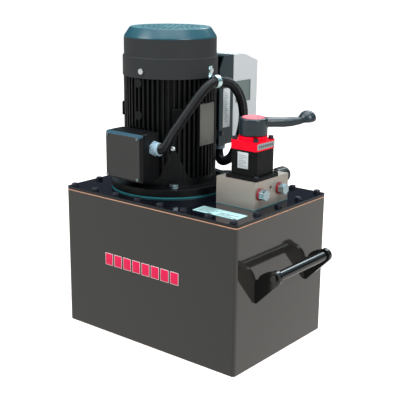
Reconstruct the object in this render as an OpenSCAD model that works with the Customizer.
// Hydraulic power unit: oil tank with a flange-mounted vertical motor, a gear pump
// hanging in the oil, a manifold with a lever valve, and a motor control box.
// Origin: centre of the tank's base. +X is to the right, +Y to the back, +Z up.

/* [Tank] */
// Width of the tank along the front
tank_w = 450; // [440:1:480]
// Depth of the tank
tank_d = 310; // [306:1:330]
// Height of the tank without its cover plate
tank_h = 294; // [290:1:320]
// Thickness of the bent tank walls
wall_t = 2.5; // [2:0.5:3]
// Outer radius of the upright bends
corner_r = 7; // [7:1:12]
// Thickness of the cover plate
plate_t = 6; // [5:1:8]
// Thickness of the cork gasket under the cover plate
gasket_t = 2; // [1:0.5:3]

/* [Handles] */
// Distance between the outer sides of a handle's legs
handle_w = 186; // [170:1:200]
// Diameter of the grip tube
grip_d = 20; // [18:1:22]

/* [Motor] */
// Position of the motor axis along the front
motor_x = -68; // [-74:1:-66]
// Diameter of the motor flange
flange_d = 250; // [246:1:252]
// Bolt circle of the motor flange
flange_pcd = 215; // [213:1:217]
// Radius over the cooling fins
fin_r = 96.5; // [94:0.5:97]
// Number of cooling fins
fin_count = 56; // [40:4:60]
// Radius of the fan cowl's skirt
cowl_r = 98.5; // [98:0.5:100]

/* [Valve] */
// Position of the valve axis along the front
valve_x = 154; // [150:1:156]
// Position of the valve axis from front to back
valve_y = -11; // [-13:1:-8]
// Angle of the resting lever from the +X direction
lever_angle = 45; // [40:1:50]
// Distance from the valve axis to the centre of the lever's knob
lever_reach = 106; // [96:1:112]

/* [Control box] */
// Height of the control box's lower face
box_z = 383; // [378:1:386]
// Height of the control box
box_h = 190; // [180:1:196]
// Width of the control box
box_w = 136; // [136:1:140]

/* [Hidden] */
$fn = 96;

// Heights of the stacked parts
plate_z = tank_h + gasket_t;
top_z = plate_z + plate_t;
rim_t = 6;
rim_w = 27;

// Perimeter bolts of the cover plate
bolt_nx = 8;
bolt_ny = 5;
bolt_inset_x = 15;
bolt_inset_y = 11;
bolt_hole_r = 4.5;

// Motor stack
spacer_t = 3;
flange_z = top_z + spacer_t;
flange_t = 15;
bell_z = flange_z + flange_t;
fins_z = bell_z + 15;
fins_top = 545;
cowl_z = 538;
cowl_step_z = 577;
cowl_bevel_z = 615;
cowl_top_z = 635;
shaft_r = 14;
bearing_r = 15;
bearing_or = 31;
bearing_w = 16;
bearing_z = [bell_z + 1, 545];

// Terminal box on the motor's front
tbox_w = 100;
tbox_back_y = -92;
tbox_split_y = -124;
tbox_front_y = -146;
tbox_z = 338;
tbox_h = 96;
gland_pos = [motor_x + tbox_w / 2, -108, 404];
gland_len = 17;

// Control box
box_right = motor_x + box_w / 2;
bracket_y = 80;
box_split_y = 128;
box_back_y = 216;
box_top_z = box_z + box_h;
bend_y = 164;
bend_drop = 17.5;
sheet_t = 3;
window_y = [137, 190];
window_z = [469, 515];
flap_axis = [0.5, 187.2];
box_gland_pos = [box_right - 21, 108, box_z];
mains_gland_pos = [box_right - box_w, 108, 460];

// Conduit from the terminal box, round the motor and up into the control box
conduit_r = 10;
conduit_route = [[-1, -108, 404], [8, -108, 407], [16, -106, 418], [24, -101, 436], [36, -89, 461], [46, -73, 487],
    [50, -47, 512], [48, -19, 526], [44, 10, 531], [50, 41, 527], [53, 65, 513], [53, 84, 490],
    [51, 96, 464], [48, 100, 441], [44, 98, 414], [38, 93, 388], [27, 90, 362], [8, 90, 349],
    [-10, 99, 349], [-20, 107, 360], [-21, 108, 371]];
conduit_sides = 12;
conduit_steps = 2;

// Clip on the fan cowl
clip_angle = 5;
clip_pos = conduit_route[8];

// Manifold block
block_x = [99, 192];
block_y = [-54, 60];
block_seal_t = 1;
block_z = top_z + block_seal_t;
block_top = 357;
port_y = [-38, 28];
port_z = 332;
port_r = 8.3;
aux_hole_r = 3.4;
aux_hole_pos = [block_x[1], -1, 338.5];
relief_x = 156;
relief_z = 342;

// Valve stack
valve_base_w = 76;
valve_base_t = 7;
valve_w = 62;
valve_z = block_top + valve_base_t;
valve_plate_z = 414;
valve_plate_t = 18;
valve_ring_z = valve_plate_z + valve_plate_t;
valve_ring_t = 7.5;
hub_z = valve_ring_z + valve_ring_t + 1;
hub_h = 33.5;
hub_r = 29;
spindle_r = 7;
spindle_fit = 0.05;

// Handles
leg_t = 10;
grip_x = tank_w / 2 + 44;
grip_z = 193;
nose_r = 14;
foot_z = 133;
foot_h = 45;
foot_t = 5;

// Pump hanging below the cover plate
gear_teeth = 12;
gear_pitch_r = 18;
gear_tip_r = 20.5;
gear_root_r = 15.3;
gear_distance = 2 * gear_pitch_r;
gear_z = 128.2;
gear_h = 25.8;
pump_w = 92;
pump_d = 112;
pump_top_z = 196;
pump_shaft_r = 9;
idler_shaft_r = 8;
oil_port_z = 141;
oil_pipe_pos = [118, 18];
return_pipe_pos = [172, 36];

// Filler
filler_x = 78;
filler_y = 9;
neck_r = 14;

// ---------- Shared shapes ----------

// Points of a rectangle with rounded corners, centred on the origin
function rounded_points(w, d, r, n = 6) = [
    for (c = [[1, 1, 0], [-1, 1, 90], [-1, -1, 180], [1, -1, 270]])
        for (i = [0 : n])
            [c[0] * (w / 2 - r) + r * cos(c[2] + 90 * i / n),
             c[1] * (d / 2 - r) + r * sin(c[2] + 90 * i / n)]
];

module rounded_slab(w, d, h, r) {
    linear_extrude(h) polygon(rounded_points(w, d, r));
}

// A frame: a rounded slab with a rounded hole through it
module rounded_frame(w, d, h, r, inner_w, inner_d, inner_r) {
    difference() {
        rounded_slab(w, d, h, r);
        translate([0, 0, -1]) rounded_slab(inner_w, inner_d, h + 2, inner_r);
    }
}

// Places its children at every perimeter bolt of the cover plate
module at_cover_bolts() {
    step_x = (tank_w - 2 * bolt_inset_x) / (bolt_nx - 1);
    step_y = (tank_d - 2 * bolt_inset_y) / (bolt_ny - 1);
    for (i = [0 : bolt_nx - 1])
        for (j = [0 : bolt_ny - 1])
            if (i == 0 || i == bolt_nx - 1 || j == 0 || j == bolt_ny - 1)
                translate([-tank_w / 2 + bolt_inset_x + i * step_x, -tank_d / 2 + bolt_inset_y + j * step_y, 0])
                    children();
}

// Places its children at the motor flange's four bolts
module at_flange_bolts() {
    for (a = [45 : 90 : 315])
        translate([motor_x + flange_pcd / 2 * cos(a), flange_pcd / 2 * sin(a), 0]) children();
}

module at_motor() {
    translate([motor_x, 0, 0]) children();
}

module at_valve() {
    translate([valve_x, valve_y, 0]) children();
}

// A ring: a cylinder with a bore
module ring(outer_r, inner_r, h) {
    difference() {
        cylinder(r = outer_r, h = h);
        translate([0, 0, -1]) cylinder(r = inner_r, h = h + 2);
    }
}

// A cylinder between two heights along +X
module rod_x(r, length) {
    rotate([0, 90, 0]) cylinder(r = r, h = length);
}

// A cylinder along +Y
module rod_y(r, length) {
    rotate([-90, 0, 0]) cylinder(r = r, h = length);
}

// Hexagon head with a threaded shank below it
module hex_bolt(head_r, head_h, shank_r, shank_l) {
    cylinder(r = head_r, h = head_h, $fn = 6);
    translate([0, 0, -shank_l]) cylinder(r = shank_r, h = shank_l + 0.5);
}

// Cylinder head with a hexagon socket and a threaded shank below it
module socket_screw(head_r, head_h, shank_r, shank_l) {
    difference() {
        cylinder(r = head_r, h = head_h);
        translate([0, 0, head_h * 0.45]) cylinder(r = head_r * 0.5, h = head_h, $fn = 6);
    }
    translate([0, 0, -shank_l]) cylinder(r = shank_r, h = shank_l + 0.5);
}

// ---------- Tank ----------

module tank_shell() {
    color([0.13, 0.13, 0.14]) difference() {
        rounded_frame(tank_w, tank_d, tank_h, corner_r,
            tank_w - 2 * wall_t, tank_d - 2 * wall_t, corner_r - wall_t);
        sight_glass_holes();
        translate([-tank_w / 2 - 1, 0, drain_z()]) rod_x(drain_r(), 6);
    }
}

function drain_z() = 22;
function drain_r() = 10;
function sight_x() = 60;
function sight_z() = [110, 186];
function sight_hole_r() = 5.2;

module sight_glass_holes() {
    for (z = sight_z())
        translate([sight_x(), tank_d / 2 - wall_t - 1, z]) rod_y(sight_hole_r(), wall_t + 2);
}

module tank_floor() {
    color([0.13, 0.13, 0.14])
        rounded_slab(tank_w - 2 * wall_t, tank_d - 2 * wall_t, 3, corner_r - wall_t);
}

// Flange welded inside the top edge, tapped for the cover bolts
module tank_rim() {
    color([0.13, 0.13, 0.14]) difference() {
        translate([0, 0, tank_h - rim_t])
            rounded_frame(tank_w - 2 * wall_t, tank_d - 2 * wall_t, rim_t, corner_r - wall_t,
                tank_w - 2 * wall_t - 2 * rim_w, tank_d - 2 * wall_t - 2 * rim_w, 12);
        at_cover_bolts() translate([0, 0, tank_h - rim_t - 1]) cylinder(r = 3.4, h = rim_t + 2);
    }
}

module drain_plug() {
    color([0.75, 0.75, 0.76]) translate([-tank_w / 2, 0, drain_z()]) {
        rotate([0, -90, 0]) cylinder(r = 14, h = 3);
        translate([-3, 0, 0]) rotate([0, -90, 0]) cylinder(r = 12, h = 8, $fn = 6);
        rod_x(drain_r() - 0.2, 10);
    }
}

// Level gauge on the tank's rear face
module sight_glass() {
    color([0.08, 0.08, 0.08]) {
        difference() {
            translate([sight_x() - 12, tank_d / 2, sight_z()[0] - 14])
                cube([24, 14, sight_z()[1] - sight_z()[0] + 28]);
            translate([sight_x() - 7, tank_d / 2 + 10, sight_z()[0] + 10])
                cube([14, 8, sight_z()[1] - sight_z()[0] - 20]);
        }
        for (z = sight_z()) translate([sight_x(), tank_d / 2 - 10, z]) rod_y(sight_hole_r() - 0.2, 11);
    }
}

// ---------- Cover ----------

module lid_gasket() {
    color([0.72, 0.5, 0.4]) difference() {
        translate([0, 0, tank_h]) rounded_frame(tank_w, tank_d, gasket_t, corner_r,
            tank_w - 2 * wall_t - 2 * rim_w, tank_d - 2 * wall_t - 2 * rim_w, 12);
        at_cover_bolts() translate([0, 0, tank_h - 1]) cylinder(r = bolt_hole_r, h = gasket_t + 2);
    }
}

module cover_plate() {
    color([0.07, 0.08, 0.1]) difference() {
        translate([0, 0, plate_z]) rounded_slab(tank_w, tank_d, plate_t, corner_r);
        plate_holes();
    }
}

module plate_holes() {
    translate([0, 0, plate_z - 1]) {
        at_cover_bolts() cylinder(r = bolt_hole_r, h = plate_t + 2);
        at_flange_bolts() cylinder(r = 6.1, h = plate_t + 2);
        at_motor() cylinder(r = 30, h = plate_t + 2);
        translate([filler_x, filler_y, 0]) cylinder(r = neck_r, h = plate_t + 2);
        translate(oil_pipe_pos) cylinder(r = 7, h = plate_t + 2);
        translate(return_pipe_pos) cylinder(r = 9, h = plate_t + 2);
    }
}

module cover_washers() {
    color([0.2, 0.2, 0.21]) at_cover_bolts()
        translate([0, 0, top_z]) ring(8, bolt_hole_r, 1.6);
}

module cover_bolts() {
    color([0.15, 0.15, 0.16]) at_cover_bolts()
        translate([0, 0, top_z + 1.6]) hex_bolt(7.2, 4.4, 3.3, 16);
}

// Plates and stickers: cover instruction, front bar, motor rating, control box strip, valve
module labels() {
    color([0.72, 0.9, 0.88]) {
        translate([97, -126, top_z]) cube([106, 36, 0.8]);
        translate([-112, -tank_d / 2 - 0.6, 152]) cube([202, 0.6, 26]);
        translate([motor_x + fin_r, -21, 401]) cube([1.2, 46, 86]);
        translate([box_right, 92.5, 420]) cube([0.6, 24, 84]);
        translate([valve_x - 13, valve_y - valve_w / 2 - 0.5, 378]) cube([25, 0.5, 32]);
        translate([valve_x + valve_w / 2 + 0.5, valve_y - 20, valve_plate_z + 5]) cube([0.5, 40, 8]);
    }
}

// ---------- Handles ----------

// Outline of a leg seen along the grip, with x measured out from the tank's side
function leg_points() = concat(
    [[0, foot_z], [foot_t, foot_z]],
    [for (a = [-44 : 12 : 112]) [grip_x - tank_w / 2 + nose_r * cos(a), grip_z + nose_r * sin(a)]],
    [for (a = [0 : 15 : 75]) [34 - 28 * sin(a), 203 - 19 * (1 - cos(a)) - 5 * sin(a)]],
    [[foot_t, foot_z + foot_h], [0, foot_z + foot_h]]
);

module handle_leg() {
    difference() {
        rotate([90, 0, 0]) linear_extrude(leg_t) polygon(leg_points());
        translate([grip_x - tank_w / 2, -leg_t - 1, grip_z]) rod_y(4, leg_t + 2);
    }
}

module on_both_sides() {
    for (side = [0, 1]) mirror([side, 0, 0]) children();
}

module handle_legs() {
    color([0.06, 0.06, 0.06]) on_both_sides() translate([tank_w / 2, 0, 0]) {
        translate([0, -handle_w / 2 + leg_t, 0]) handle_leg();
        translate([0, handle_w / 2, 0]) handle_leg();
    }
}

// Grip tube with the through bolt that clamps it between the legs
module handle_grips() {
    color([0.04, 0.04, 0.04]) on_both_sides() translate([grip_x, 0, grip_z]) {
        translate([0, -handle_w / 2 + leg_t, 0]) rod_y(grip_d / 2, handle_w - 2 * leg_t);
        translate([0, -handle_w / 2 - 4, 0]) rod_y(3.9, handle_w + 8);
        for (y = [-handle_w / 2 - 5, handle_w / 2]) translate([0, y, 0]) rod_y(7, 5);
    }
}

// ---------- Filler and breather ----------

module at_filler() {
    translate([filler_x, filler_y, 0]) children();
}

module filler_neck() {
    color([0.7, 0.7, 0.72]) at_filler() difference() {
        union() {
            translate([0, 0, plate_z - 10]) cylinder(r = neck_r, h = 36);
            translate([0, 0, top_z]) cylinder(r = 17, h = 5);
        }
        translate([0, 0, plate_z - 11]) cylinder(r = neck_r - 2.5, h = 40);
    }
}

// Rod that lifts with the cap and shows the oil level
module dipstick() {
    color([0.8, 0.8, 0.8]) at_filler() {
        translate([0, 0, 200]) cylinder(r = 2, h = 127);
        translate([0, 0, 326]) cylinder(r = 10, h = 4);
        translate([0, 0, 329.5]) cylinder(r = 4, h = 10.5);
    }
}

module filler_cap() {
    color([0.08, 0.08, 0.08]) at_filler() difference() {
        union() {
            translate([0, 0, 316]) cylinder(r = 17.2, h = 34);
            for (a = [0 : 30 : 330]) rotate([0, 0, a]) translate([16, -1.5, 318]) cube([2.4, 3, 26]);
        }
        translate([0, 0, 315]) cylinder(r = neck_r + 0.6, h = 21);
        translate([0, 0, 330]) cylinder(r = 4.05, h = 10.4);
    }
}

// ---------- Motor ----------

// Gaskets under the motor flange and under the manifold block
module flange_gaskets() {
    color([0.05, 0.12, 0.14]) {
        at_motor() translate([0, 0, top_z]) difference() {
            ring(flange_d / 2, 89, spacer_t);
            for (a = [45 : 90 : 315]) rotate([0, 0, a]) translate([flange_pcd / 2, 0, -1]) cylinder(r = 7, h = 6);
        }
        difference() {
            translate([block_x[0] - 0.8, block_y[0] - 0.8, top_z])
                cube([block_x[1] - block_x[0] + 1.6, block_y[1] - block_y[0] + 1.6, block_seal_t]);
            translate([0, 0, top_z - 1]) {
                translate(oil_pipe_pos) cylinder(r = 5, h = 4);
                translate(return_pipe_pos) cylinder(r = 7, h = 4);
            }
        }
    }
}

// Smooth ears above the flange's bolts, running up between the fins
module shield_ears() {
    intersection() {
        translate([0, 0, fins_z]) cylinder(r = fin_r - 1, h = 80);
        for (a = [45 : 90 : 315]) rotate([0, 0, a]) rotate([90, 0, 90]) translate([0, 0, 70])
            linear_extrude(40) polygon([[-33, fins_z - 1], [33, fins_z - 1], [22, 356], [6, 392], [-6, 392], [-22, 356]]);
    }
}

module motor_flange_shield() {
    color([0.05, 0.06, 0.07]) difference() {
        at_motor() {
            translate([0, 0, flange_z]) cylinder(r = flange_d / 2, h = flange_t);
            translate([0, 0, bell_z - 0.5]) cylinder(r = 94, h = fins_z - bell_z + 0.5);
        }
        at_motor() {
            translate([0, 0, flange_z - 1]) cylinder(r = 22, h = 60);
            translate([0, 0, bell_z + 1]) cylinder(r = bearing_or, h = 40);
        }
        at_flange_bolts() translate([0, 0, flange_z - 1]) cylinder(r = 7, h = flange_t + 2);
    }
}

module flange_bolts() {
    color([0.8, 0.8, 0.8]) at_flange_bolts() translate([0, 0, bell_z]) {
        cylinder(r = 11, h = 2);
        translate([0, 0, 2]) hex_bolt(10.2, 7.5, 5.9, 35);
    }
}

// Star outline of the finned housing
function fin_points(root_r, tip_r, count) = [
    for (i = [0 : count - 1])
        for (k = [[-0.26, root_r], [-0.18, tip_r], [0.18, tip_r], [0.26, root_r]])
            let (a = 360 * (i + k[0]) / count)
            [k[1] * cos(a), k[1] * sin(a)]
];

module motor_frame() {
    color([0.05, 0.05, 0.06]) difference() {
        at_motor() {
            difference() {
                union() {
                    translate([0, 0, fins_z]) linear_extrude(fins_top - fins_z)
                        polygon(fin_points(86, fin_r, fin_count));
                    frame_pads();
                    shield_ears();
                }
                translate([0, 0, bell_z - 1]) cylinder(r = 78, h = 400);
                translate([-tbox_w / 2 - 1, -120, tbox_z - 4]) cube([tbox_w + 2, 120 + tbox_back_y, tbox_h + 8]);
            }
        }
    }
}

// Lugs for the control box and the round bosses above the terminal box
module frame_pads() {
    for (side = [-1, 1])
        for (z = [398, 500])
            translate([side * 56.5 - 8.5, 58, z]) cube([17, 38, 20]);
    for (z = [463, 528])
        translate([0, -99, z - 9]) intersection() {
            translate([-9, 0, 0]) cube([18, 16, 18]);
            translate([0, 0, 9]) rod_y(9, 16);
        }
    for (side = [-1, 1])
        rotate([0, 0, -90 + side * 49]) translate([80, -10, 454]) cube([20, 20, 26]);
    translate([80, -22, 400]) cube([fin_r - 80, 48, 88]);
}

module motor_rear_shield() {
    color([0.07, 0.07, 0.08]) at_motor() translate([0, 0, fins_top]) difference() {
        union() {
            cylinder(r = 84, h = 8);
            cylinder(r = 40, h = bearing_w + 2);
        }
        translate([0, 0, -1]) cylinder(r = bearing_or, h = bearing_w + 1);
        translate([0, 0, -1]) cylinder(r = 16, h = 30);
    }
}

module stator_core() {
    color([0.45, 0.45, 0.47]) at_motor() translate([0, 0, 372]) ring(77.9, 51, 118);
}

module stator_windings() {
    color([0.7, 0.35, 0.15]) at_motor() {
        translate([0, 0, 346]) ring(74, 54, 26);
        translate([0, 0, 490]) ring(74, 54, 26);
    }
}

module rotor_core() {
    color([0.6, 0.6, 0.62]) at_motor() translate([0, 0, 370]) ring(50.5, 18, 122);
}

module motor_shaft() {
    color([0.7, 0.7, 0.72]) at_motor() {
        translate([0, 0, 241]) cylinder(r = shaft_r, h = bell_z - 241);
        translate([0, 0, bell_z]) cylinder(r = bearing_r - 0.02, h = 18);
        translate([0, 0, bell_z + 17.5]) cylinder(r = 18 - 0.02, h = fins_top - bell_z - 17.5);
        translate([0, 0, fins_top - 0.5]) cylinder(r = bearing_r - 0.02, h = 18);
        translate([0, 0, fins_top + 17]) cylinder(r = 12, h = 40);
    }
}

module bearing_outer_rings() {
    color([0.75, 0.75, 0.78]) at_motor() for (z = bearing_z) translate([0, 0, z]) {
        ring(bearing_or - 0.02, 26, bearing_w - 0.5);
        for (a = [0 : 40 : 320]) rotate([0, 0, a]) translate([23, 0, (bearing_w - 0.5) / 2]) sphere(r = 3.2);
    }
}

module bearing_inner_rings() {
    color([0.78, 0.78, 0.8]) at_motor() for (z = bearing_z)
        translate([0, 0, z]) ring(19.6, bearing_r, bearing_w - 0.5);
}

module cooling_fan() {
    color([0.15, 0.15, 0.16]) at_motor() translate([0, 0, 574]) {
        difference() {
            union() {
                cylinder(r = 22, h = 24);
                cylinder(r = 80, h = 3);
                for (a = [0 : 45 : 315]) rotate([0, 0, a]) translate([20, -1.5, 0]) cube([60, 3, 24]);
            }
            translate([0, 0, -1]) cylinder(r = 12.02, h = 40);
        }
    }
}

// Outline of the cowl's wall, from the skirt up to the flat top
function cowl_outline(t) = [
    [cowl_r - t, cowl_z], [cowl_r, cowl_z], [cowl_r, cowl_step_z], [cowl_r - 2.8, cowl_step_z + 3],
    [cowl_r - 2.8, cowl_bevel_z], [cowl_r - 4, cowl_bevel_z + 3], [84, cowl_top_z - 1.5], [82, cowl_top_z],
    [0, cowl_top_z], [0, cowl_top_z - t], [81.4, cowl_top_z - t], [83, cowl_top_z - 3],
    [cowl_r - 2.8 - t, cowl_bevel_z - 0.5], [cowl_r - 2.8 - t, cowl_step_z + 2.2], [cowl_r - t, cowl_step_z - 0.8]
];

module fan_cowl() {
    color([0.08, 0.1, 0.12]) at_motor() difference() {
        rotate_extrude() polygon(cowl_outline(1.6));
        cowl_vents();
        for (a = [clip_angle : 90 : clip_angle + 270])
            rotate([0, 0, a]) translate([cowl_r - 4, 0, 552]) rod_x(2.6, 8);
    }
}

// Rings of round air holes in the cowl's top
module cowl_vents() {
    for (row = [[22, 10], [34, 16], [46, 22], [58, 28]])
        for (i = [0 : row[1] - 1])
            rotate([0, 0, 360 * i / row[1]]) translate([row[0], 0, cowl_top_z - 4]) cylinder(r = 3.4, h = 8, $fn = 6);
}

// Small screws of the cowl, the terminal box lid and the control box bracket
module machine_screws() {
    color([0.8, 0.8, 0.8]) {
        at_motor() for (a = [clip_angle : 90 : clip_angle + 270]) rotate([0, 0, a])
            translate([cowl_r + (a == clip_angle ? 1.6 : 0), 0, 552]) {
                rod_x(6, 3);
                translate([-10, 0, 0]) rod_x(2.4, 11);
            }
        for (x = [-41, 41]) for (z = [-41, 41])
            translate([motor_x + x, tbox_front_y, tbox_z + tbox_h / 2 + z]) rotate([90, 0, 0]) cylinder(r = 3.6, h = 2);
        for (z = bracket_screw_z()) {
            translate([box_right, 90, z]) rod_x(5.5, 3.5);
            translate([box_right - sheet_t, 90, z]) rod_x(3.1, 4);
            translate([box_right - box_w - 3.5, 90, z]) rod_x(5.5, 3.5);
            translate([box_right - box_w - 1, 90, z]) rod_x(3.1, 1 + sheet_t);
        }
    }
}

function bracket_screw_z() = [408, 510];

// ---------- Terminal box ----------

module at_terminal_box() {
    translate([motor_x, 0, tbox_z]) children();
}

module terminal_box() {
    color([0.05, 0.05, 0.06]) at_terminal_box() difference() {
        translate([-tbox_w / 2, tbox_split_y, 0]) cube([tbox_w, tbox_back_y - tbox_split_y, tbox_h]);
        translate([-tbox_w / 2 + 4, tbox_split_y - 1, 4]) cube([tbox_w - 8, tbox_back_y - tbox_split_y - 3, tbox_h - 8]);
        translate([tbox_w / 2 - 6, gland_pos[1], gland_pos[2] - tbox_z]) rod_x(9, 8);
    }
}

module terminal_box_lid() {
    color([0.09, 0.1, 0.1]) at_terminal_box() difference() {
        translate([0, tbox_split_y, tbox_h / 2]) rotate([90, 0, 0]) {
            rounded_slab(tbox_w + 1, tbox_h + 1, 16, 5);
            hull() {
                translate([0, 0, 15.9]) rounded_slab(tbox_w + 1, tbox_h + 1, 0.1, 5);
                translate([0, 0, 21.9]) rounded_slab(tbox_w - 9, tbox_h - 9, 0.1, 5);
            }
        }
        translate([-tbox_w / 2 + 4, tbox_split_y - 17, 4]) cube([tbox_w - 8, 18, tbox_h - 8]);
    }
}

module terminal_block() {
    color([0.75, 0.7, 0.6]) at_terminal_box() {
        translate([-28, -104, 30]) cube([56, 8, 38]);
        for (x = [-18, 0, 18]) for (z = [40, 58]) translate([x, -118, z]) rod_y(2.5, 15);
    }
}

// ---------- Conduit ----------

// One gland: thread, body and the nut that grips the conduit
module gland(length) {
    difference() {
        union() {
            translate([0, 0, -6]) cylinder(r = 8.9, h = 7);
            cylinder(r = 15.4, h = 6, $fn = 6);
            translate([0, 0, 5.5]) cylinder(r = 13.2, h = length - 5.5);
        }
        translate([0, 0, -7]) cylinder(r = 7, h = length + 8);
    }
}

module conduit_glands() {
    color([0.55, 0.62, 0.66]) {
        translate(gland_pos) rotate([0, 90, 0]) gland(gland_len);
        translate(box_gland_pos) rotate([180, 0, 0]) gland(12);
        translate(mains_gland_pos) rotate([0, -90, 0]) gland(gland_len);
    }
}

// Smooth curve through the route's points
function route_index(i) = min(max(i, 0), len(conduit_route) - 1);
function spline(a, b, c, d, t) = 0.5 * (2 * b + (c - a) * t + (2 * a - 5 * b + 4 * c - d) * t * t
    + (3 * b - a - 3 * c + d) * t * t * t);
function on_route(u) = let (i = min(floor(u), len(conduit_route) - 2))
    spline(conduit_route[route_index(i - 1)], conduit_route[i],
        conduit_route[route_index(i + 1)], conduit_route[route_index(i + 2)], u - i);
function unit(v) = v / norm(v);
function ring_count() = (len(conduit_route) - 1) * conduit_steps + 1;
function route_place(k) = on_route(k / conduit_steps);
// Direction of travel: square to the gland's face at both ends
function heading(k) = k == 0 ? [1, 0, 0] : k == ring_count() - 1 ? [0, 0, 1]
    : unit(route_place(k + 1) - route_place(k - 1));
// Carries a side direction along the route without twisting
function carried(k) = k == 0 ? unit(cross(heading(0), [0, 0, 1]))
    : let (s = carried(k - 1), h = heading(k)) unit(s - (s * h) * h);

module conduit() {
    rings = [for (k = [0 : ring_count() - 1])
        let (p = route_place(k), side = carried(k), up = cross(side, heading(k)))
            for (j = [0 : conduit_sides - 1])
                p + conduit_r * (side * cos(360 * j / conduit_sides) + up * sin(360 * j / conduit_sides))];
    last = ring_count() - 1;
    walls = [for (k = [0 : last - 1]) for (j = [0 : conduit_sides - 1])
        let (a = k * conduit_sides, n = (j + 1) % conduit_sides)
            [a + j, a + conduit_sides + j, a + conduit_sides + n, a + n]];
    start_face = [[for (j = [0 : conduit_sides - 1]) j]];
    end_face = [[for (j = [conduit_sides - 1 : -1 : 0]) last * conduit_sides + j]];
    color([0.05, 0.05, 0.05]) polyhedron(points = rings, faces = concat(walls, start_face, end_face));
}

// Metal band round the conduit with a tab under the cowl screw
module conduit_clip() {
    color([0.8, 0.83, 0.83]) {
        translate(clip_pos) rotate([-90, 0, -2]) translate([0, 0, -6]) ring(conduit_r + 3, conduit_r + 1.2, 12);
        at_motor() rotate([0, 0, clip_angle]) difference() {
            translate([cowl_r + 0.1, -6, clip_pos[2] - 4]) cube([1.5, 12, 34]);
            translate([cowl_r - 2, 0, 552]) rod_x(2.6, 8);
        }
    }
}

// ---------- Control box ----------

// Black wiring housing that carries the control box on the motor's lugs
module box_bracket() {
    inner_w = box_w - 2 * sheet_t;
    color([0.08, 0.12, 0.14]) difference() {
        translate([box_right - box_w, bracket_y, box_z]) cube([box_w, box_split_y - bracket_y, box_h]);
        translate([motor_x - inner_w / 2, bracket_y - 1, box_z + sheet_t])
            cube([inner_w, box_split_y - bracket_y - sheet_t + 1, box_h - 2 * sheet_t]);
        at_motor() translate([0, 0, box_z - 1]) cylinder(r = 101, h = box_h + 2);
        translate([box_right - box_w - 1, bracket_y, box_top_z]) rotate([0, 90, 0])
            linear_extrude(box_w + 2) polygon([[-1, -1], [30, -1], [-1, 15]]);
        translate(box_gland_pos) translate([0, 0, -1]) cylinder(r = 9, h = 5);
        translate(mains_gland_pos) translate([-1, 0, 0]) rod_x(9, 5);
        for (z = bracket_screw_z()) translate([box_right - box_w - 1, 90, z]) rod_x(3.3, box_w + 2);
    }
}

// Side outline of the control box's cover, as y and z
function box_side(t, start_y) = [
    [start_y, box_z + t], [bend_y, box_z + t], [box_back_y - t, box_z + bend_drop + t],
    [box_back_y - t, box_top_z - bend_drop - t], [bend_y, box_top_z - t], [start_y, box_top_z - t]
];

module box_prism(width, t, start_y) {
    rotate([90, 0, 90]) linear_extrude(width) polygon(box_side(t, start_y));
}

module box_back_plate() {
    color([0.75, 0.75, 0.74]) translate([box_right - box_w, box_split_y, box_z]) cube([box_w, sheet_t, box_h]);
}

// Pale cover with the window opening and the button panel behind it
module box_cover() {
    color([0.8, 0.8, 0.79]) union() {
        difference() {
            translate([box_right - box_w, 0, 0]) box_prism(box_w, 0, box_split_y + sheet_t);
            translate([box_right - box_w + sheet_t, 0, 0]) box_prism(box_w - 2 * sheet_t, sheet_t, box_split_y);
            translate([box_right - 8, window_y[0], window_z[0]])
                cube([10, window_y[1] - window_y[0], window_z[1] - window_z[0]]);
        }
        button_panel();
    }
}

// Panel behind the window that guides the two push buttons
module button_panel() {
    difference() {
        translate([box_right - 15, window_y[0] - 4, window_z[0] - 6])
            cube([3, window_y[1] - window_y[0] + 8, window_z[1] - window_z[0] + 12]);
        for (y = button_y()) translate([box_right - 17, y, button_z()]) rod_x(8.1, 8);
    }
    for (z = [window_z[0] - 6, window_z[1] + 3])
        translate([box_right - 13, window_y[0] - 4, z]) cube([11, window_y[1] - window_y[0] + 8, 3]);
}

function button_y() = [151, 176];
function button_z() = (window_z[0] + window_z[1]) / 2;

module push_button(y) {
    translate([box_right - 18, y, button_z()]) rod_x(8, 12);
    translate([box_right - 18.3, y, button_z()]) rod_x(9.5, 3);
}

module start_button() {
    color([0.1, 0.55, 0.25]) push_button(button_y()[0]);
}

module stop_button() {
    color([0.75, 0.1, 0.1]) push_button(button_y()[1]);
}

// Smoked flap over the buttons, hinged along its rear edge
module window_flap() {
    height = window_z[1] - window_z[0] - 1;
    color([0.4, 0.42, 0.42]) translate([box_right, 0, window_z[0] + 0.5]) {
        translate([-2, window_y[0] + 0.5, 0]) cube([3, flap_axis[1] - window_y[0] - 0.5, height]);
        translate([flap_axis[0], flap_axis[1], 0]) cylinder(r = 2.2, h = height);
    }
}

// Contactor on its rail
module contactor() {
    color([0.3, 0.3, 0.32]) {
        translate([motor_x - 50, box_split_y + sheet_t + 0.1, 440]) cube([90, 6, 35]);
        translate([motor_x - 40, box_split_y + sheet_t + 6.1, 420]) cube([45, 52, 75]);
        translate([motor_x - 40, box_split_y + sheet_t + 6.1, 398]) cube([45, 44, 21.5]);
    }
}

// ---------- Manifold ----------

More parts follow.
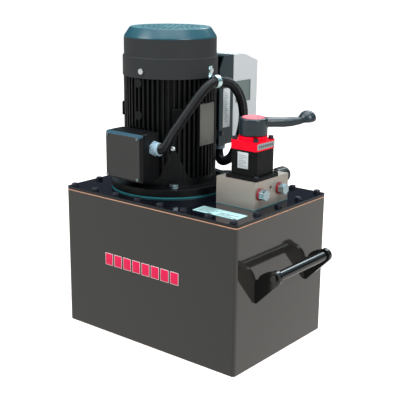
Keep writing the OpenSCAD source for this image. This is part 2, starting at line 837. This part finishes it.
module manifold_block() {
    color([0.72, 0.66, 0.62]) difference() {
        translate([block_x[0], block_y[0], block_z])
            cube([block_x[1] - block_x[0], block_y[1] - block_y[0], block_top - block_z]);
        for (y = port_y) translate([block_x[1] - 16, y, port_z]) rod_x(port_r, 20);
        for (y = port_y) translate([valve_x - 6, y, port_z]) rod_x(4, 40);
        translate([aux_hole_pos[0] - 16, aux_hole_pos[1], aux_hole_pos[2]]) rod_x(aux_hole_r, 20);
        translate([oil_pipe_pos[0], oil_pipe_pos[1], block_z - 1]) cylinder(r = 5, h = 30);
        translate([return_pipe_pos[0], return_pipe_pos[1], block_z - 1]) cylinder(r = 7, h = 19);
        translate([relief_x, block_y[1] - 30, relief_z]) rod_y(9, 40);
        for (c = valve_corners()) translate([valve_x, valve_y, block_top - 12]) {
            translate([c[0] * 25, c[1] * 25, 0]) cylinder(r = 2.6, h = 20);
            translate([c[0] * 33.5, c[1] * 33.5, 0]) cylinder(r = 2.6, h = 20);
        }
    }
}

function valve_corners() = [[1, 1], [-1, 1], [-1, -1], [1, -1]];

// Plugs in the two working ports
module port_plugs() {
    color([0.82, 0.84, 0.85]) for (y = port_y) translate([block_x[1], y, port_z]) {
        translate([-14, 0, 0]) rod_x(port_r - 0.1, 18.5);
        translate([4, 0, 0]) rotate([0, 90, 0]) cylinder(r = 11, h = 13, $fn = 6);
    }
}

module port_seal_rings() {
    color([0.7, 0.1, 0.1]) for (y = port_y) translate([block_x[1], y, port_z])
        rotate([0, 90, 0]) ring(12, port_r, 4);
}

module relief_cartridge() {
    color([0.7, 0.7, 0.72]) translate([relief_x, 0, relief_z]) difference() {
        union() {
            translate([0, block_y[1] - 28, 0]) rod_y(8.9, 28.5);
            translate([0, block_y[1], 0]) rotate([-90, 0, 0]) cylinder(r = 13, h = 6, $fn = 6);
            translate([0, block_y[1] + 5.5, 0]) rod_y(8, 6.5);
        }
        translate([0, block_y[1] - 10, 0]) rod_y(4.05, 40);
    }
}

// Pressure-setting screw, which moves in and out
module relief_spindle() {
    color([0.6, 0.6, 0.62]) translate([relief_x, block_y[1] - 6, relief_z]) {
        rod_y(4, 26);
        translate([0, 25.5, 0]) rod_y(3, 10.5);
    }
}

module relief_knob() {
    color([0.05, 0.05, 0.05]) translate([relief_x, block_y[1] + 10, relief_z]) difference() {
        union() {
            rod_y(15.6, 31);
            for (a = [0 : 20 : 340]) rotate([0, a, 0]) translate([14.6, 5, -1]) cube([2.2, 22, 2]);
        }
        translate([0, -1, 0]) rod_y(9.5, 8);
        translate([0, -1, 0]) rod_y(4.05, 11.1);
        translate([0, 9, 0]) rod_y(3.04, 11.5);
    }
}

// ---------- Valve ----------

// Square plate with cut corners
module chamfered_square(w, h, cut) {
    linear_extrude(h) polygon([
        for (c = valve_corners()) for (k = c[0] * c[1] > 0 ? [[1, 0], [0, 1]] : [[0, 1], [1, 0]])
            [c[0] * (w / 2 - k[1] * cut), c[1] * (w / 2 - k[0] * cut)]
    ]);
}

module valve_body() {
    color([0.12, 0.12, 0.13]) at_valve() difference() {
        union() {
            translate([0, 0, block_top]) chamfered_square(valve_base_w, valve_base_t, 3);
            translate([0, 0, valve_z - 0.5]) chamfered_square(valve_w, valve_plate_z - valve_z + 0.5, 4);
        }
        translate([0, 0, valve_z]) cylinder(r = 22, h = 16);
        translate([0, 0, valve_z]) cylinder(r = spindle_r + spindle_fit, h = 60);
        for (c = valve_corners()) translate([0, 0, block_top - 1]) {
            translate([c[0] * 25, c[1] * 25, 0]) cylinder(r = 2.7, h = 60);
            translate([c[0] * 33.5, c[1] * 33.5, 0]) cylinder(r = 2.7, h = 20);
        }
    }
}

module valve_top_plate() {
    color([0.85, 0.05, 0.08]) at_valve() difference() {
        union() {
            translate([0, 0, valve_plate_z]) chamfered_square(valve_w + 1, valve_plate_t, 3);
            translate([0, 0, valve_ring_z - 0.5]) cylinder(r = 28, h = valve_ring_t + 0.5);
        }
        translate([0, 0, valve_plate_z - 1]) cylinder(r = spindle_r + spindle_fit, h = 40);
        for (c = valve_corners()) translate([c[0] * 25, c[1] * 25, valve_plate_z - 1]) cylinder(r = 2.7, h = 40);
        rotate([0, 0, -lever_angle]) translate([18, -4, valve_ring_z]) cube([20, 8, 20]);
    }
}

module valve_screws() {
    color([0.1, 0.1, 0.1]) at_valve() for (c = valve_corners()) {
        translate([c[0] * 25, c[1] * 25, valve_ring_z]) socket_screw(5, 6, 2.5, valve_ring_z - block_top + 10);
        translate([c[0] * 33.5, c[1] * 33.5, valve_z]) socket_screw(4, 4, 2.4, valve_base_t + 10);
    }
}

// Spindle with the rotary sealing disc at its foot
module valve_spindle() {
    color([0.7, 0.7, 0.72]) at_valve() {
        translate([0, 0, valve_z + 1]) cylinder(r = 21, h = 12);
        translate([0, 0, valve_z + 12]) cylinder(r = spindle_r, h = hub_z + 12 - valve_z - 12);
    }
}

// Side outline of the lever arm, as distance from the axis and height
function arm_points() = let (z = hub_z, r = lever_reach) concat(
    [[0, z + 16.5], [25, z + 16.3], [45, z + 15.2], [62, z + 15.2], [80, z + 17], [r - 14, z + 20.5]],
    [for (a = [-70 : 14 : 0]) [r + 16 * cos(a), z + 34 + 9 * sin(a)]],
    [[r - 16, z + 33.5], [40, z + 32.5], [0, z + hub_h]]
);

module valve_lever() {
    color([0.13, 0.17, 0.19]) at_valve() {
        difference() {
            union() {
                translate([0, 0, hub_z]) cylinder(r = hub_r, h = hub_h);
                rotate([0, 0, lever_angle]) {
                    intersection() {
                        translate([0, 11, 0]) rotate([90, 0, 0]) linear_extrude(22) polygon(arm_points());
                        linear_extrude(800) polygon([[0, -11], [40, -10], [80, -9], [lever_reach + 8, -10.5],
                            [lever_reach + 14, -7], [lever_reach + 16, 0], [lever_reach + 14, 7],
                            [lever_reach + 8, 10.5], [80, 9], [40, 10], [0, 11]]);
                    }
                    translate([lever_reach, 0, hub_z + 29]) intersection() {
                        sphere(r = 16);
                        translate([-20, -20, 0]) cube([40, 40, 20]);
                    }
                }
            }
            translate([0, 0, hub_z - 1]) cylinder(r = spindle_r + 0.02, h = 13);
        }
        translate([0, 0, hub_z + hub_h - 0.5]) cylinder(r = 22, h = 2.1);
    }
}

// ---------- Pump ----------

// Bell housing with side windows, hung from a backing ring under the cover plate
module pump_adapter() {
    color([0.62, 0.63, 0.65]) at_motor() {
        translate([0, 0, plate_z - 10]) difference() {
            ring(120, 44, 10);
            for (a = [45 : 90 : 315]) rotate([0, 0, a]) translate([flange_pcd / 2, 0, -1])
                cylinder(r = 5.95, h = 12);
        }
        difference() {
            union() {
                translate([0, 0, pump_top_z]) cylinder(r = 54, h = plate_z - pump_top_z - 10);
                translate([0, 0, pump_top_z]) cylinder(r = 64, h = 10);
            }
            translate([0, 0, pump_top_z - 1]) cylinder(r = 44, h = 120);
            translate([-20, -70, 222]) cube([40, 140, 45]);
        }
    }
}

// Two hubs and the elastic star between them
module shaft_coupling() {
    color([0.5, 0.5, 0.52]) at_motor() {
        translate([0, 0, 240]) ring(30, shaft_r + 0.02, 28);
        translate([0, 0, 206]) ring(30, pump_shaft_r + 0.02, 28);
        translate([0, 0, 234]) linear_extrude(6) difference() {
            circle(r = 29);
            circle(r = 10);
            for (a = [0 : 60 : 300]) rotate(a) translate([18, -2]) square([14, 4]);
        }
    }
}

module pump_outline(h) {
    translate([motor_x, gear_distance / 2, 0]) rounded_slab(pump_w, pump_d, h, 8);
}

module at_idler() {
    translate([motor_x, gear_distance, 0]) children();
}

module pump_body() {
    color([0.66, 0.67, 0.68]) difference() {
        union() {
            translate([0, 0, 128]) pump_outline(63);
            at_motor() translate([0, 0, 186]) cylinder(r = 60, h = pump_top_z - 186);
        }
        at_motor() {
            translate([0, 0, 127]) cylinder(r = gear_tip_r + 0.1, h = 27.2);
            translate([0, 0, 127]) cylinder(r = pump_shaft_r + 0.05, h = 90);
        }
        at_idler() {
            translate([0, 0, 127]) cylinder(r = gear_tip_r + 0.1, h = 27.2);
            translate([0, 0, 127]) cylinder(r = idler_shaft_r + 0.05, h = 38);
        }
        translate([motor_x - pump_w / 2 - 1, gear_distance / 2, oil_port_z]) rod_x(7, pump_w / 2);
        translate([motor_x + 4, gear_distance / 2, oil_port_z]) rod_x(5, pump_w / 2);
    }
}

module pump_cover() {
    color([0.6, 0.61, 0.62]) difference() {
        translate([0, 0, 110]) pump_outline(18);
        at_motor() translate([0, 0, 117]) cylinder(r = pump_shaft_r + 0.05, h = 20);
        at_idler() translate([0, 0, 117]) cylinder(r = idler_shaft_r + 0.05, h = 20);
    }
}

// Outline of a gear with a tooth centred on the given angle
function gear_points(first) = [
    for (i = [0 : gear_teeth - 1])
        for (k = [[-9.5, gear_root_r], [-6.6, gear_pitch_r], [-3.2, gear_tip_r],
                  [3.2, gear_tip_r], [6.6, gear_pitch_r], [9.5, gear_root_r]])
            let (a = first + 360 * i / gear_teeth + k[0])
            [k[1] * cos(a), k[1] * sin(a)]
];

module drive_gear() {
    color([0.55, 0.56, 0.58]) at_motor() {
        translate([0, 0, gear_z]) linear_extrude(gear_h) polygon(gear_points(90));
        translate([0, 0, 118]) cylinder(r = pump_shaft_r, h = 114);
    }
}

module idler_gear() {
    color([0.55, 0.56, 0.58]) at_idler() {
        translate([0, 0, gear_z]) linear_extrude(gear_h) polygon(gear_points(90 + 180 / gear_teeth));
        translate([0, 0, 118]) cylinder(r = idler_shaft_r, h = 46);
    }
}

// Suction pipe with its strainer, delivery pipe and return pipe
module oil_pipes() {
    y = gear_distance / 2;
    color([0.6, 0.6, 0.55]) {
        translate([-150, y, oil_port_z]) {
            rod_x(9, 150 + motor_x - pump_w / 2);
            sphere(r = 11);
            translate([0, 0, -66]) cylinder(r = 9, h = 66);
            translate([0, 0, -120]) cylinder(r = 26, h = 56);
        }
        translate([motor_x + pump_w / 2, y, oil_port_z]) rod_x(6, oil_pipe_pos[0] - motor_x - pump_w / 2);
        translate([oil_pipe_pos[0], y, oil_port_z]) {
            sphere(r = 8);
            cylinder(r = 6, h = top_z - oil_port_z);
        }
        translate([return_pipe_pos[0], return_pipe_pos[1], 40]) cylinder(r = 8, h = top_z - 40);
    }
}

tank_shell();
tank_floor();
tank_rim();
drain_plug();
sight_glass();
lid_gasket();
cover_plate();
cover_washers();
cover_bolts();
handle_legs();
handle_grips();
filler_neck();
dipstick();
filler_cap();
labels();
flange_gaskets();
motor_flange_shield();
flange_bolts();
motor_frame();
motor_rear_shield();
stator_core();
stator_windings();
rotor_core();
motor_shaft();
bearing_outer_rings();
bearing_inner_rings();
cooling_fan();
fan_cowl();
machine_screws();
terminal_box();
terminal_box_lid();
terminal_block();
conduit_glands();
conduit();
conduit_clip();
box_bracket();
box_back_plate();
box_cover();
contactor();
window_flap();
start_button();
stop_button();
manifold_block();
port_plugs();
port_seal_rings();
relief_cartridge();
relief_spindle();
relief_knob();
valve_body();
valve_top_plate();
valve_screws();
valve_spindle();
valve_lever();
pump_adapter();
shaft_coupling();
pump_body();
pump_cover();
drive_gear();
idler_gear();
oil_pipes();
